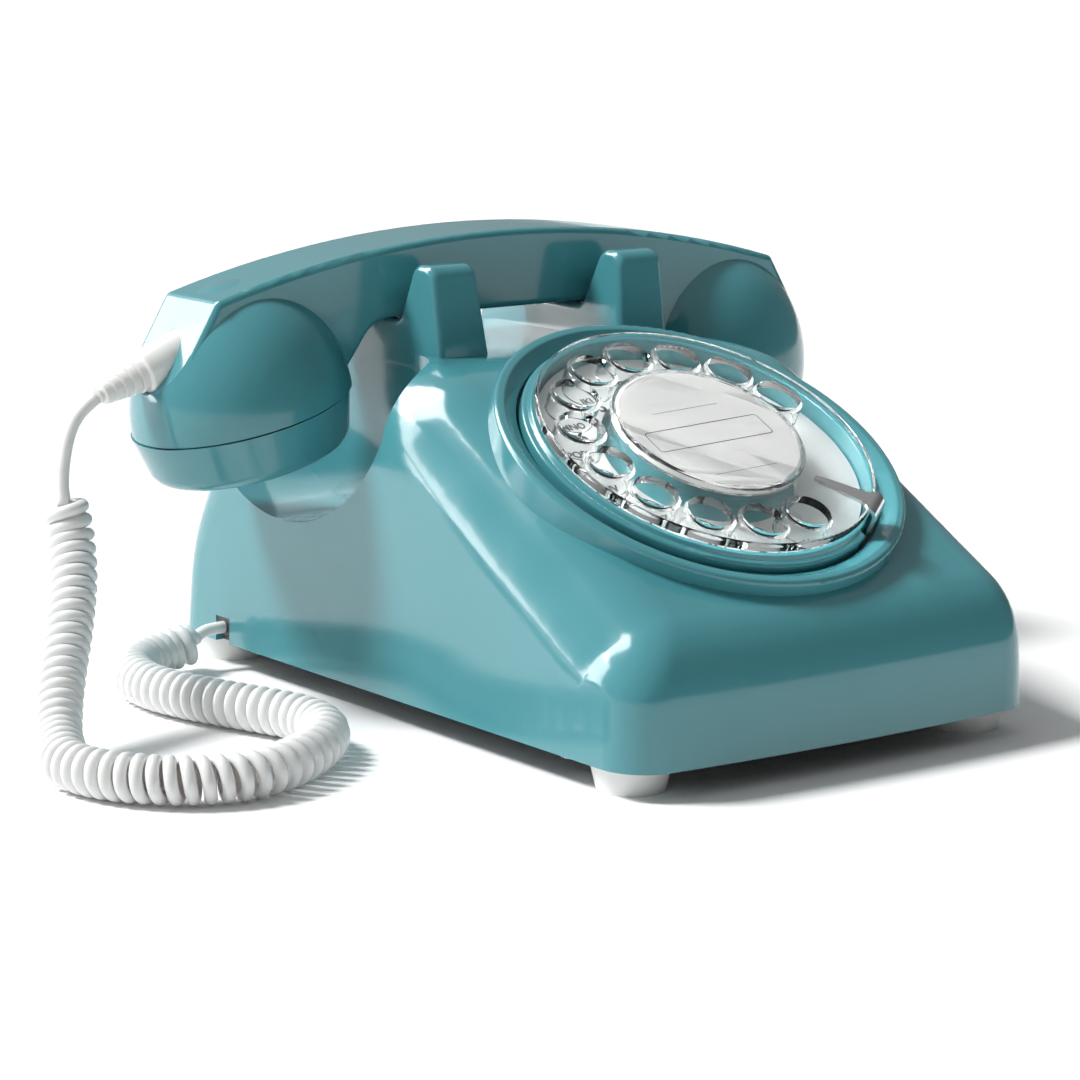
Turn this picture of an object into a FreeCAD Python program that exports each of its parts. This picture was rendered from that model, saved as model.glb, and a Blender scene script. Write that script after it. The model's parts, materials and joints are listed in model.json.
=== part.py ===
import FreeCAD, Part
import math
import os
import Sketcher

# Desk telephone with a rotary dial. Millimetres, X to the right, Y to the back,
# Z up. The origin is on the table under the middle of the base.

doc = FreeCAD.newDocument("rotary_telephone")
Vec = FreeCAD.Vector
Rot = FreeCAD.Rotation
Place = FreeCAD.Placement
AXIS_X = Vec(1, 0, 0)
AXIS_Z = Vec(0, 0, 1)

# ---------------------------------------------------------------- sizes
sheet = doc.addObject("Spreadsheet::Sheet", "Params")
VALUES = {
    "foot_height": 8.0, "foot_top_radius": 11.5, "foot_bottom_radius": 9.6,
    "foot_x": 61.5, "foot_y": 104.0,
    "half_width": 74.4, "front_sweep": 920.0, "top_height": 103.5,
    "shoulder_radius": 24.0, "corner_radius": 14.0, "wall": 2.5,
    "valley_radius": 62.0, "valley_y": 55.5, "valley_z": 114.0,
    "tower_half": 43.0, "valley_front": 2.0, "valley_corner": 26.0,
    "cradle_inner": 27.0, "cradle_top": 130.4, "saddle_height": 112.9,
    "dial_y": -55.3, "dial_z": 79.5, "dial_tilt": 28.9,
    "collar_radius": 62.7, "bowl_radius": 54.3,
    "plate_outer": 49.6, "plate_inner": 30.0, "plate_thick": 3.4,
    "wheel_radius": 51.5, "wheel_bottom": 5.0, "wheel_thick": 3.0,
    "hole_ring": 39.6, "hole_radius": 6.9, "hole_step": 24.0, "hole_first": 21.0,
    "collar_length": 5.4, "collar_wall": 0.9,
    "cap_radius": 29.5, "cap_height": 2.6,
    "shaft_radius": 4.0, "shaft_length": 32.0,
    "gear_module": 0.8, "gear_teeth": 48.0, "pinion_teeth": 16.0,
    "handset_y": 54.0, "handset_depth": 31.0, "handset_top": 137.6,
    "cup_x": 88.6, "cup_z": 88.0, "cup_radius": 34.0, "cup_tilt": 14.7,
    "dome_height": 38.8, "end_slope": 0.597, "cap_depth": 16.0,
    "gong_radius": 24.0, "gong_x": 29.0, "gong_y": 82.0,
    "board_thick": 1.6, "board_width": 104.0, "board_length": 70.0,
    "cord_width": 3.6, "coil_width": 14.0,
}
for row, (alias, value) in enumerate(VALUES.items(), start=1):
    sheet.set("A%d" % row, alias)
    sheet.set("B%d" % row, repr(value))
    sheet.setAlias("B%d" % row, alias)
doc.recompute()


def size(alias):
    return VALUES[alias]


def bind(obj, prop, formula):
    """Ties a property to the spreadsheet."""
    obj.setExpression(prop, formula)


# ---------------------------------------------------------------- outlines
def rounded(corners):
    """Lines and arcs of a closed outline; a corner is (x, y) or (x, y, radius)."""
    count = len(corners)
    ends = []
    for i in range(count):
        here = Vec(corners[i][0], corners[i][1], 0)
        radius = corners[i][2] if len(corners[i]) > 2 else 0
        if not radius:
            ends.append((here, None, here))
            continue
        before = Vec(corners[i - 1][0], corners[i - 1][1], 0)
        after = Vec(corners[(i + 1) % count][0], corners[(i + 1) % count][1], 0)
        to_before = (before - here).normalize()
        to_after = (after - here).normalize()
        half = to_before.getAngle(to_after) / 2.0
        reach = radius / math.tan(half)
        first = here + to_before * reach
        last = here + to_after * reach
        inward = (to_before + to_after).normalize()
        centre = here + inward * (radius / math.sin(half))
        ends.append((first, centre - inward * radius, last))
    shapes = []
    for i in range(count):
        first, middle, last = ends[i]
        if middle is not None:
            clockwise = (middle - first).cross(last - first).z < 0
            a, b = (last, first) if clockwise else (first, last)
            shapes.append(Part.Arc(a, middle, b))
        start = ends[(i + 1) % count][0]
        if (start - last).Length > 1e-6:
            shapes.append(Part.LineSegment(last, start))
    return shapes


def draw(sketch, shapes):
    """Adds a closed run of shapes to a sketch, each joined to the next."""
    first = sketch.GeometryCount
    sketch.addGeometry(shapes, False)
    geometry = sketch.Geometry
    last = sketch.GeometryCount
    joints = []
    for i in range(first, last):
        j = i + 1 if i + 1 < last else first
        a_ends = (geometry[i].StartPoint, geometry[i].EndPoint)
        b_ends = (geometry[j].StartPoint, geometry[j].EndPoint)
        pairs = [(p, q) for p in (0, 1) for q in (0, 1)]
        p, q = min(pairs, key=lambda k: (a_ends[k[0]] - b_ends[k[1]]).Length)
        joints.append(Sketcher.Constraint("Coincident", i, p + 1, j, q + 1))
    sketch.addConstraint(joints)


def circle(sketch, x, y, radius, alias=None):
    """Adds a circle whose radius can follow the spreadsheet."""
    shape = Part.Circle(Vec(x, y, 0), AXIS_Z, radius)
    index = sketch.addGeometry(shape, False)
    rule = sketch.addConstraint(Sketcher.Constraint("Radius", index, radius))
    if alias:
        bind(sketch, "Constraints[%d]" % rule, "Params." + alias)
    return index


def new_sketch(body, label, role):
    """A sketch on one of the body's own planes."""
    sketch = body.newObject("Sketcher::SketchObject", label)
    plane = [p for p in body.Origin.OriginFeatures if p.Role == role][0]
    sketch.AttachmentSupport = [(plane, "")]
    sketch.MapMode = "FlatFace"
    return sketch


def new_body(name, place=None):
    body = doc.addObject("PartDesign::Body", name)
    body.Label = name
    if place is not None:
        body.Placement = place
    return body


def turned(name, corners, place=None):
    """A body turned about its own Z axis from (radius, height) corners."""
    body = new_body(name, place)
    sketch = new_sketch(body, name + "_section", "XZ_Plane")
    draw(sketch, rounded(corners))
    turn = body.newObject("PartDesign::Revolution", name + "_turn")
    turn.Profile = sketch
    turn.ReferenceAxis = (sketch, ["V_Axis"])
    turn.Angle = 360
    body.Tip = turn
    return body


def padded(name, corners, length, role="XY_Plane", place=None, middle=False, alias=None):
    """A body padded from an outline on one of its planes."""
    body = new_body(name, place)
    sketch = new_sketch(body, name + "_outline", role)
    draw(sketch, rounded(corners))
    pad = body.newObject("PartDesign::Pad", name + "_pad")
    pad.Profile = sketch
    pad.Length = length
    pad.Midplane = middle
    if alias:
        bind(pad, "Length", alias)
    body.Tip = pad
    return body


def box_corners(x0, x1, y0, y1, radius=0):
    return [(x0, y0, radius), (x1, y0, radius), (x1, y1, radius), (x0, y1, radius)]


def cylinder(name, radius, height, place, radius_alias=None, height_alias=None):
    item = doc.addObject("Part::Cylinder", name)
    item.Label = name
    item.Radius = radius
    item.Height = height
    item.Placement = place
    if radius_alias:
        bind(item, "Radius", radius_alias)
    if height_alias:
        bind(item, "Height", height_alias)
    return item


def box(name, x0, x1, y0, y1, z0, z1):
    item = doc.addObject("Part::Box", name)
    item.Label = name
    item.Length = x1 - x0
    item.Width = y1 - y0
    item.Height = z1 - z0
    item.Placement.Base = Vec(x0, y0, z0)
    return item


def fused(name, items):
    item = doc.addObject("Part::MultiFuse", name)
    item.Label = name
    item.Shapes = items
    return item


def common(name, items):
    item = doc.addObject("Part::MultiCommon", name)
    item.Label = name
    item.Shapes = items
    return item


def cut(name, base, tool):
    item = doc.addObject("Part::Cut", name)
    item.Label = name
    item.Base = base
    item.Tool = tool
    return item


def softened(name, base, radius, wanted):
    """Rounds the edges of a solid that the wanted() test picks."""
    doc.recompute()
    item = doc.addObject("Part::Fillet", name)
    item.Label = name
    item.Base = base
    edges = enumerate(base.Shape.Edges, start=1)
    item.Edges = [(i, radius, radius) for i, edge in edges if wanted(edge)]
    return item


def edge_middle(edge):
    return edge.valueAt((edge.FirstParameter + edge.LastParameter) / 2.0)


# ---------------------------------------------------------------- frames
DIAL = Place(Vec(0, size("dial_y"), size("dial_z")), Rot(AXIS_X, size("dial_tilt")))


def on_dial(x, y, z, turn=0.0):
    """A placement in the frame of the dial, whose Z axis points out of it."""
    return DIAL.multiply(Place(Vec(x, y, z), Rot(AXIS_Z, turn)))


def follow_dial(item):
    """Keeps a part that sits at the dial's origin tied to the spreadsheet."""
    bind(item, ".Placement.Base.y", "Params.dial_y")
    bind(item, ".Placement.Base.z", "Params.dial_z")
    return item


def polar(radius, degrees):
    angle = math.radians(degrees)
    return radius * math.cos(angle), radius * math.sin(angle)


def cup_frame(side):
    """Frame of a handset cup; its Z axis points up and away from the middle."""
    tilt = Rot(Vec(0, 1, 0), side * size("cup_tilt"))
    return Place(Vec(side * size("cup_x"), size("handset_y"), size("cup_z")), tilt)


# ---------------------------------------------------------------- housing
TOP = size("top_height")
FOOT = size("foot_height")
SLOPE = math.tan(math.radians(size("dial_tilt")))
SLOPE_Z = size("dial_z") - 1.8
FRONT = -124.0
SCREW_Y = (-86.0, 76.0)


def slope_height(y):
    """Height of the sloping top along the middle of the housing."""
    return SLOPE_Z + SLOPE * (y - size("dial_y"))


def side_sketch(label, corners):
    """A sketch in the YZ plane, outside any body."""
    sketch = doc.addObject("Sketcher::SketchObject", label)
    sketch.Placement = Place(Vec(0, 0, 0), Rot(Vec(1, 1, 1), 120))
    draw(sketch, rounded(corners))
    return sketch


def swept_front(inset):
    """Front, sloping top and crest, turned about a far axis to bow the front."""
    top = TOP - inset
    drop = inset / math.cos(math.radians(size("dial_tilt")))
    crest_y = size("dial_y") + (top + drop - SLOPE_Z) / SLOPE
    front = FRONT + inset
    sketch = side_sketch("front_section", [
        (140, FOOT), (140, top), (crest_y, top, 60 - inset),
        (front + 0.8, slope_height(front + 0.8) - drop, 26 - inset), (front, FOOT)])
    sweep = doc.addObject("Part::Revolution", "front_sweep_solid")
    sweep.Source = sketch
    sweep.Axis = AXIS_Z
    sweep.Base = Vec(0, FRONT + size("front_sweep"), 0)
    sweep.Angle = 14
    sweep.Symmetric = True
    sweep.Solid = True
    return sweep


def rear_limit(inset):
    """Straight block that gives the rear wall its curve."""
    top = TOP - inset
    sketch = side_sketch("rear_section", [
        (-160, FOOT), (121 - inset, FOOT), (118.5 - inset, 34, 60 - inset),
        (90.5 - inset, top, 14 - inset), (-160, top)])
    block = doc.addObject("Part::Extrusion", "rear_limit_solid")
    block.Base = sketch
    block.DirMode = "Custom"
    block.Dir = AXIS_X
    block.LengthFwd = 200
    block.Symmetric = True
    block.Solid = True
    return block


def side_limit(inset):
    """Block between the two slightly drafted side walls."""
    half = size("half_width") - inset
    return padded("side_limit", [
        (-half, FOOT), (half, FOOT), (half - 2.8, 112), (-half + 2.8, 112)],
        400, "XZ_Plane", middle=True)


def valley_tool(side, grow, label):
    """Space cleared for a handset cup; grow > 0 makes the outer skin of it."""
    reach = 90 + grow
    inner = size("tower_half") - grow
    front = size("valley_front") - grow
    plan = padded(label + "_plan", [
        (side * inner, front, size("valley_corner") + grow), (side * inner, 140),
        (side * reach, 140), (side * reach, front)], 100)
    plan.Placement.Base = Vec(0, 0, 45)
    place = Place(Vec(side * 20, size("valley_y"), size("valley_z")), Rot(Vec(0, 1, 0), side * 90))
    bowl = cylinder(label + "_bowl", size("valley_radius") + grow, 80, place,
                    "Params.valley_radius + %g" % grow)
    slab = box(label + "_slab", min(side * 20, side * 100), max(side * 20, side * 100),
               size("valley_y") - size("valley_radius") - grow,
               size("valley_y") + size("valley_radius") + grow + 10, size("valley_z"), 150)
    return common(label, [plan, fused(label + "_trough", [bowl, slab])])


def cradle_block(side):
    """Saddle with a prong at each end that keeps the handset in place."""
    top = size("cradle_top")
    seat = size("saddle_height")
    mid = size("handset_y")
    label = "cradle_%s" % ("right" if side > 0 else "left")
    block = padded(label, [
        (mid - 40.5, 97), (mid - 35.5, top, 4.6), (mid - 25.5, top, 4.6),
        (mid - 17.3, seat, 3), (mid + 17.3, seat, 3), (mid + 25.5, top, 4.6),
        (mid + 35.5, top, 4.6), (mid + 37, 97)], 60, "YZ_Plane", middle=True)
    block.Placement.Base = Vec(side * 30, 0, 0)
    inner = size("cradle_inner")
    outer = size("tower_half")
    taper = padded(label + "_taper", [
        (side * (inner - 3.0), 97), (side * inner, top + 1), (side * outer, top + 1),
        (side * outer, 97)], 200, "XZ_Plane", middle=True)
    taper.Placement.Base = Vec(0, mid, 0)
    solid = common(label + "_block", [block, taper])
    return softened(label + "_soft", solid, 2.2, lambda e: (
        edge_middle(e).z > 98 and e.BoundBox.DiagonalLength > 1 and abs(edge_middle(e).y - mid) < 40.4
        and (abs(edge_middle(e).x) < inner - 0.02 or abs(abs(edge_middle(e).x) - outer) < 0.01
             or e.BoundBox.XLength < 0.01)))


def dial_collar():
    """Raised ring of the housing around the dial."""
    radius = size("collar_radius")
    collar = turned("dial_collar", [
        (radius, -12), (radius, 3.1, 1.4), (radius - 3.0, 3.1, 1.2),
        (radius - 7.5, 0.3, 0.8), (radius - 7.5, -6), (radius - 5.0, -6),
        (radius - 5.0, -2.2), (radius - 2.6, -0.4), (radius - 2.6, -12)], DIAL)
    return follow_dial(collar)


def housing_solid(inset, label):
    """The housing as a solid block, inset from its outer surface."""
    blank = common(label + "_blank", [swept_front(inset), rear_limit(inset), side_limit(inset)])

    doc.recompute()
    corner = size("corner_radius") - inset
    shoulder = size("shoulder_radius") - inset
    edges = []
    for index, edge in enumerate(blank.Shape.Edges, start=1):
        middle = edge_middle(edge)
        if abs(middle.x) < size("half_width") - inset - 4 or middle.z < FOOT + 0.5:
            continue
        ends = [edge.valueAt(edge.FirstParameter), edge.valueAt(edge.LastParameter)]
        radii = [corner if end.z < 50 else shoulder for end in ends]
        edges.append((index, radii[0], radii[1]))
    item = doc.addObject("Part::Fillet", label)
    item.Label = label
    item.Base = blank
    item.Edges = edges
    return item


def build_housing():
    outer = housing_solid(0, "housing_outer")
    inner = housing_solid(size("wall"), "housing_inner")
    sides = ((-1, "left"), (1, "right"))
    valleys = fused("valleys", [valley_tool(side, 0, "valley_" + name) for side, name in sides])
    skins = fused("valley_skins", [
        valley_tool(side, size("wall"), "valley_skin_" + name) for side, name in sides])
    open_top = cut("housing_open", outer, valleys)
    core = cut("housing_core", inner, skins)
    shell = cut("housing_walls", open_top, core)
    body = fused("housing_body", [shell, cradle_block(-1), cradle_block(1)])

    well = cylinder("dial_well", size("collar_radius") - 1.3, 28, on_dial(0, 0, -16),
                    "Params.collar_radius - 1.3")
    bored = cut("housing_bored", body, well)
    posts = []
    for x in (-1, 1):
        for y in SCREW_Y:
            posts.append(cylinder("housing_post", 4.6, 26, Place(Vec(x * 68.2, y, 10.6), Rot())))
    joined = fused("housing_joined", [bored, dial_collar()] + posts)

    holes = []
    for x in (-1, 1):
        holes.append(box("plunger_hole", x * 36 - 2.9, x * 36 + 2.9, 49.4, 58.6, 88, 120))
        for y in SCREW_Y:
            holes.append(cylinder("post_bore", 1.6, 20, Place(Vec(x * 68.2, y, 9), Rot())))
    for k in range(3):
        x, y = polar(56.4, 90 + 120 * k)
        holes.append(cylinder("collar_bore", 1.5, 8, on_dial(x, y, -9)))
    holes.append(box("cord_gap", -80, -60, 86.0, 94.0, 7, 16.0))
    holes.append(box("socket_gap", 37.8, 52.2, 95, 130, 10.8, 23.2))
    housing = cut("housing_shell", joined, fused("housing_holes", holes))
    return housing


# ---------------------------------------------------------------- base
def build_base():
    half = size("half_width") - size("wall") - 0.4
    plate = padded("base_plate", box_corners(-half, half, -117.5, 117.5, 13.5), 2.4,
                   place=Place(Vec(0, 0, FOOT), Rot()))
    bind(plate, ".Placement.Base.z", "Params.foot_height")
    holes = plate.newObject("Sketcher::SketchObject", "base_plate_holes")
    plane = [p for p in plate.Origin.OriginFeatures if p.Role == "XY_Plane"][0]
    holes.AttachmentSupport = [(plane, "")]
    holes.MapMode = "FlatFace"
    for x in (-1, 1):
        for y in SCREW_Y:
            circle(holes, x * 68.2, y, 1.7)
    for x in range(-3, 4):
        circle(holes, x * 9, 60, 2.2)
    pocket = plate.newObject("PartDesign::Pocket", "base_plate_pocket")
    pocket.Profile = holes
    pocket.Type = 1
    pocket.Reversed = True
    plate.Tip = pocket

    feet = []
    screws = []
    for x in (-1, 1):
        for y in (-1, 1):
            foot = doc.addObject("Part::Cone", "foot")
            foot.Radius1 = size("foot_bottom_radius")
            foot.Radius2 = size("foot_top_radius")
            foot.Height = FOOT
            foot.Placement.Base = Vec(x * size("foot_x"), y * size("foot_y"), 0)
            bind(foot, "Radius1", "Params.foot_bottom_radius")
            bind(foot, "Radius2", "Params.foot_top_radius")
            bind(foot, "Height", "Params.foot_height")
            feet.append(foot)
    for x in (-1, 1):
        for y in SCREW_Y:
            head = cylinder("base_screw_head", 3.2, 1.6, Place(Vec(x * 68.2, y, FOOT - 1.6), Rot()))
            shank = cylinder("base_screw_shank", 1.6, 14, Place(Vec(x * 68.2, y, FOOT), Rot()))
            slot = box("base_screw_slot", x * 68.2 - 4, x * 68.2 + 4, y - 0.4, y + 0.4,
                       FOOT - 2, FOOT - 0.8)
            screws.append(cut("base_screw", fused("base_screw_blank", [head, shank]), slot))
    return [plate, fused("rubber_feet", feet), fused("base_screws", screws)]


# ---------------------------------------------------------------- dial
def wheel_holes(sketch, radius, alias=None):
    for k in range(12):
        x, y = polar(size("hole_ring"), size("hole_first") + size("hole_step") * k)
        circle(sketch, x, y, radius, alias)


def pad_sketch(body, sketch, alias):
    """Pads the sketch by a length from the sheet and makes that the body's shape."""
    pad = body.newObject("PartDesign::Pad", body.Label + "_pad")
    pad.Profile = sketch
    pad.Length = size(alias)
    bind(pad, "Length", "Params." + alias)
    body.Tip = pad


def build_wheel():
    """Clear finger wheel: a disc with a short tube under every finger hole."""
    disc = new_body("wheel_disc", on_dial(0, 0, size("wheel_bottom")))
    outline = new_sketch(disc, "wheel_disc_outline", "XY_Plane")
    circle(outline, 0, 0, size("wheel_radius"), "wheel_radius")
    circle(outline, 0, 0, size("shaft_radius") + 0.02)
    wheel_holes(outline, size("hole_radius"), "hole_radius")
    pad_sketch(disc, outline, "wheel_thick")
    soft = softened("wheel_soft", disc, 0.7, lambda e: (
        isinstance(e.Curve, Part.Circle) and abs(e.Curve.Radius - size("wheel_radius")) < 0.01))

    tubes = new_body("wheel_tubes", on_dial(0, 0, size("wheel_bottom") - size("collar_length")))
    rings = new_sketch(tubes, "wheel_tube_rings", "XY_Plane")
    wheel_holes(rings, size("hole_radius"), "hole_radius")
    wheel_holes(rings, size("hole_radius") + size("collar_wall"))
    pad_sketch(tubes, rings, "collar_length")
    return fused("finger_wheel", [soft, tubes])


def involute_outline(teeth, module, thinner, turn):
    """Gear outline with involute flanks; each tooth is thinner by the backlash."""
    pitch = module * teeth / 2.0
    base = pitch * math.cos(math.radians(20))
    tip = pitch + 0.85 * module
    root = pitch - 1.15 * module
    involute = math.tan(math.radians(20)) - math.radians(20)
    points = []
    for tooth in range(int(teeth)):
        centre = 2 * math.pi * tooth / teeth + turn
        flank = []
        for radius in (root, max(base, root + 0.01), pitch, tip):
            angle = math.acos(min(1.0, base / radius))
            half = math.pi / (2 * teeth) - thinner / (2 * pitch)
            half += involute - (math.tan(angle) - angle)
            flank.append((radius, half))
        for radius, half in flank:
            points.append((radius * math.cos(centre - half), radius * math.sin(centre - half)))
        for radius, half in reversed(flank):
            points.append((radius * math.cos(centre + half), radius * math.sin(centre + half)))
    corners = [Vec(x, y, 0) for x, y in points]
    return Part.Face(Part.makePolygon(corners + corners[:1]))


def gear(name, teeth, turn, thick, place, bore):
    face = involute_outline(teeth, size("gear_module"), 0.22, turn)
    outline = doc.addObject("Part::Feature", name + "_face")
    outline.Shape = face.cut(Part.Face(Part.Wire(Part.Circle(Vec(), AXIS_Z, bore).toShape())))
    wheel = doc.addObject("Part::Extrusion", name)
    wheel.Label = name
    wheel.Base = outline
    wheel.DirMode = "Custom"
    wheel.Dir = AXIS_Z
    wheel.LengthFwd = thick
    wheel.Solid = True
    wheel.Placement = place
    return wheel


def spiral_spring():
    """Flat return spring of the dial, a strip wound round the shaft."""
    inner = []
    outer = []
    for k in range(0, 181):
        angle = 2 * math.pi * 5 * k / 180.0
        radius = 5.2 + 9.0 * k / 180.0
        inner.append(Vec(radius * math.cos(angle), radius * math.sin(angle), 0))
        outer.append(Vec((radius + 0.5) * math.cos(angle), (radius + 0.5) * math.sin(angle), 0))
    near = Part.BSplineCurve()
    near.interpolate(inner)
    far = Part.BSplineCurve()
    far.interpolate(outer)
    edges = [near.toShape(), Part.makeLine(inner[-1], outer[-1]), far.toShape(),
             Part.makeLine(outer[0], inner[0])]
    strip = Part.Face(Part.Wire(Part.__sortEdges__(edges))).extrude(Vec(0, 0, 2.4))
    item = doc.addObject("Part::Feature", "dial_spring")
    item.Shape = strip
    item.Placement = on_dial(0, 0, -21.6)
    return item


def build_finger_stop():
    """Chromed strip that rises outside the wheel and reaches in over it."""
    section = padded("stop_strip", [
        (53.5, -6.0), (54.5, -6.0), (54.5, 10.8, 3.2), (33.5, 9.8), (33.5, 8.9),
        (53.5, 9.6, 2.2)], 12, "XZ_Plane", middle=True)
    section.Placement = on_dial(0, 0, 0, -52)
    sides = padded("stop_outline", [
        (60, -5.2), (60, 5.2), (51.5, 5.2, 1.6), (49.5, 3.0, 3), (36, 1.4, 4), (33, 0.7),
        (33, -0.7), (36, -1.4, 4), (49.5, -3.0, 3), (51.5, -5.2, 1.6)], 24)
    sides.Placement = on_dial(0, 0, -8, -52)
    stop = common("finger_stop", [section, sides])
    return stop


def build_dial():
    bowl = size("bowl_radius")
    shaft = size("shaft_radius")
    outer = turned("dial_bowl_turned", [
        (9, -6), (50.2, -6), (50.2, -8.1), (57.3, -8.1), (57.3, -6), (bowl, -6),
        (bowl, 2.6, 0.8), (52.6, 3.0, 0.3), (51.9, 4.2, 0.5), (50.2, 4.2, 0.4),
        (50.2, -4.4), (9, -4.4)], DIAL)
    follow_dial(outer)
    notch_x, notch_y = polar(55.2, -52)
    notch = doc.addObject("Part::Box", "dial_bowl_notch")
    notch.Length = 7
    notch.Width = 13
    notch.Height = 20
    notch.Placement = on_dial(notch_x, notch_y, -6, -52).multiply(Place(Vec(-3.4, -6.5, 0), Rot()))
    bores = [notch]
    plate_bores = []
    for k in range(3):
        x, y = polar(56.4, 90 + 120 * k)
        bores.append(cylinder("dial_bowl_bore", 1.5, 4, on_dial(x, y, -9)))
        plate_bores.append(cylinder("dial_frame_bore", 1.5, 4, on_dial(x, y, -11)))
    bowl_item = cut("dial_bowl", outer, fused("dial_bowl_cuts", bores))

    plate = follow_dial(turned("number_plate", [
        (size("plate_inner"), -4.4), (size("plate_outer"), -4.4),
        (size("plate_outer"), -4.4 + size("plate_thick")),
        (size("plate_inner"), -4.4 + size("plate_thick"))], DIAL))

    frame = follow_dial(turned("dial_frame_plate", [
        (shaft + 0.05, -13), (6.5, -13), (6.5, -9.7), (58, -9.7), (58, -8.1), (6.5, -8.1),
        (6.5, -5.8), (shaft + 0.05, -5.8)], DIAL))
    centre = 0.5 * size("gear_module") * (size("gear_teeth") + size("pinion_teeth"))
    pinion_x, pinion_y = polar(centre, 90)
    plate_bores.append(cylinder("governor_top_bore", 1.55, 6, on_dial(pinion_x, pinion_y, -12)))
    frame_item = cut("dial_frame", frame, fused("dial_frame_bores", plate_bores))

    bridge = padded("dial_bridge_plate", box_corners(-18, 18, -23.5, 36, 5), 1.5,
                    place=on_dial(0, 0, -24.5))
    bridge_bores = [cylinder("bridge_shaft_bore", shaft + 0.05, 4, on_dial(0, 0, -26)),
                    cylinder("bridge_pinion_bore", 1.55, 4, on_dial(pinion_x, pinion_y, -26))]
    bridge_item = cut("dial_bridge_cut", bridge, fused("bridge_bores", bridge_bores))
    pillars = []
    for x, y in ((-15, -20), (15, -20), (-15, 32), (15, 32)):
        pillars.append(cylinder("bridge_pillar", 2.2, 13.3, on_dial(x, y, -23.0)))
    bridge_item = fused("dial_bridge", [bridge_item] + pillars)

    shaft_item = fused("dial_shaft", [
        cylinder("shaft_rod", shaft, size("shaft_length"), on_dial(0, 0, 8.0 - size("shaft_length") - 0.8),
                 "Params.shaft_radius", "Params.shaft_length"),
        cylinder("shaft_flange", 8.4, 1.6, on_dial(0, 0, 3.4))])
    gear_item = gear("main_gear", size("gear_teeth"), math.radians(90), 1.8, on_dial(0, 0, -15.6), shaft)
    cam = padded("pulse_cam_plate", box_corners(-9, 9, -5.6, 5.6, 2.5), 1.4)
    cam_bore = cylinder("cam_bore", shaft, 4, Place(Vec(0, 0, -1), Rot()))
    cam_item = cut("pulse_cam", cam, cam_bore)
    cam_item.Placement = on_dial(0, 0, -17.6)

    pinion_turn = math.radians(-90 + 180.0 / size("pinion_teeth"))
    pinion = gear("governor_pinion", size("pinion_teeth"), pinion_turn, 2.6,
                  on_dial(pinion_x, pinion_y, -16.0), 1.5)
    rotor = fused("governor_rotor", [
        cylinder("rotor_spindle", 1.5, 16.0, on_dial(pinion_x, pinion_y, -24.8)),
        cylinder("rotor_disc", 5.4, 1.0, on_dial(pinion_x, pinion_y, -18.4))])
    weights = []
    for side in (-1, 1):
        weights.append(cylinder("governor_weight", 1.9, 2.2, on_dial(pinion_x + side * 3.4, pinion_y, -20.6)))
    weight_item = fused("governor_weights", weights)
    drum = turned("governor_drum", [(6.2, -23.0), (7.6, -23.0), (7.6, -17.8), (6.2, -17.8)],
                  on_dial(pinion_x, pinion_y, 0))

    contacts = []
    contacts.append(box("contact_stack", -5, 5, -4, 4, 0, 8))
    for k in range(3):
        contacts.append(box("contact_leaf", -26, -5, -2.5, 2.5, 1.2 + 2.4 * k, 1.5 + 2.4 * k))
    contact_item = fused("pulse_contacts", contacts)
    contact_item.Placement = on_dial(30, -28, -17.7, 0)

    screws = []
    for k in range(3):
        x, y = polar(56.4, 90 + 120 * k)
        screws.append(cylinder("dial_screw_head", 2.8, 1.6, on_dial(x, y, -11.3)))
        screws.append(cylinder("dial_screw_shank", 1.5, 7.6, on_dial(x, y, -9.7)))
    screw_item = fused("dial_screws", screws)

    cap = size("cap_radius")
    top = 8.0 + size("cap_height")
    disc = follow_dial(turned("hub_disc", [(0, 8.0), (27.8, 8.0), (27.8, 8.8), (0, 8.8)], DIAL))
    card = follow_dial(turned("label_card", [(0, 8.8), (27.4, 8.8), (27.4, 9.1), (0, 9.1)], DIAL))
    cover = follow_dial(turned("card_cover", [
        (0, 9.1), (27.9, 9.1), (27.9, 8.0), (cap, 8.0), (cap, top - 0.8, 0.5), (28.0, top, 0.5),
        (0, top)], DIAL))
    return [bowl_item, plate, frame_item, bridge_item, build_wheel(), shaft_item, gear_item,
            cam_item, pinion, rotor, weight_item, drum, spiral_spring(), contact_item,
            screw_item, disc, card, cover, build_finger_stop()]


# ---------------------------------------------------------------- handset
BOOT = Place(Vec(-119.0, size("handset_y"), 102.27), Rot(Vec(0, 1, 0), 250))


def cup_point(along, up):
    """A point of the right cup's own X and Z, seen from the front."""
    tilt = math.radians(size("cup_tilt"))
    x = size("cup_x") + along * math.cos(tilt) + up * math.sin(tilt)
    return x, size("cup_z") - along * math.sin(tilt) + up * math.cos(tilt)


def end_x(z):
    """How far out the flat sloping end of the handset is at that height."""
    return 104.5 + size("end_slope") * (122.5 - z)


def beyond_end(side, inset, label):
    """The space outside the sloping end, or outside its inner skin."""
    top = end_x(134) - 1.2 * inset
    foot = end_x(84) - 1.2 * inset
    tool = padded(label, [
        (side * top, 134), (side * foot, 84), (side * 160, 84), (side * 160, 134)],
        100, "XZ_Plane", middle=True)
    tool.Placement.Base = Vec(0, size("handset_y"), 0)
    return tool


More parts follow.
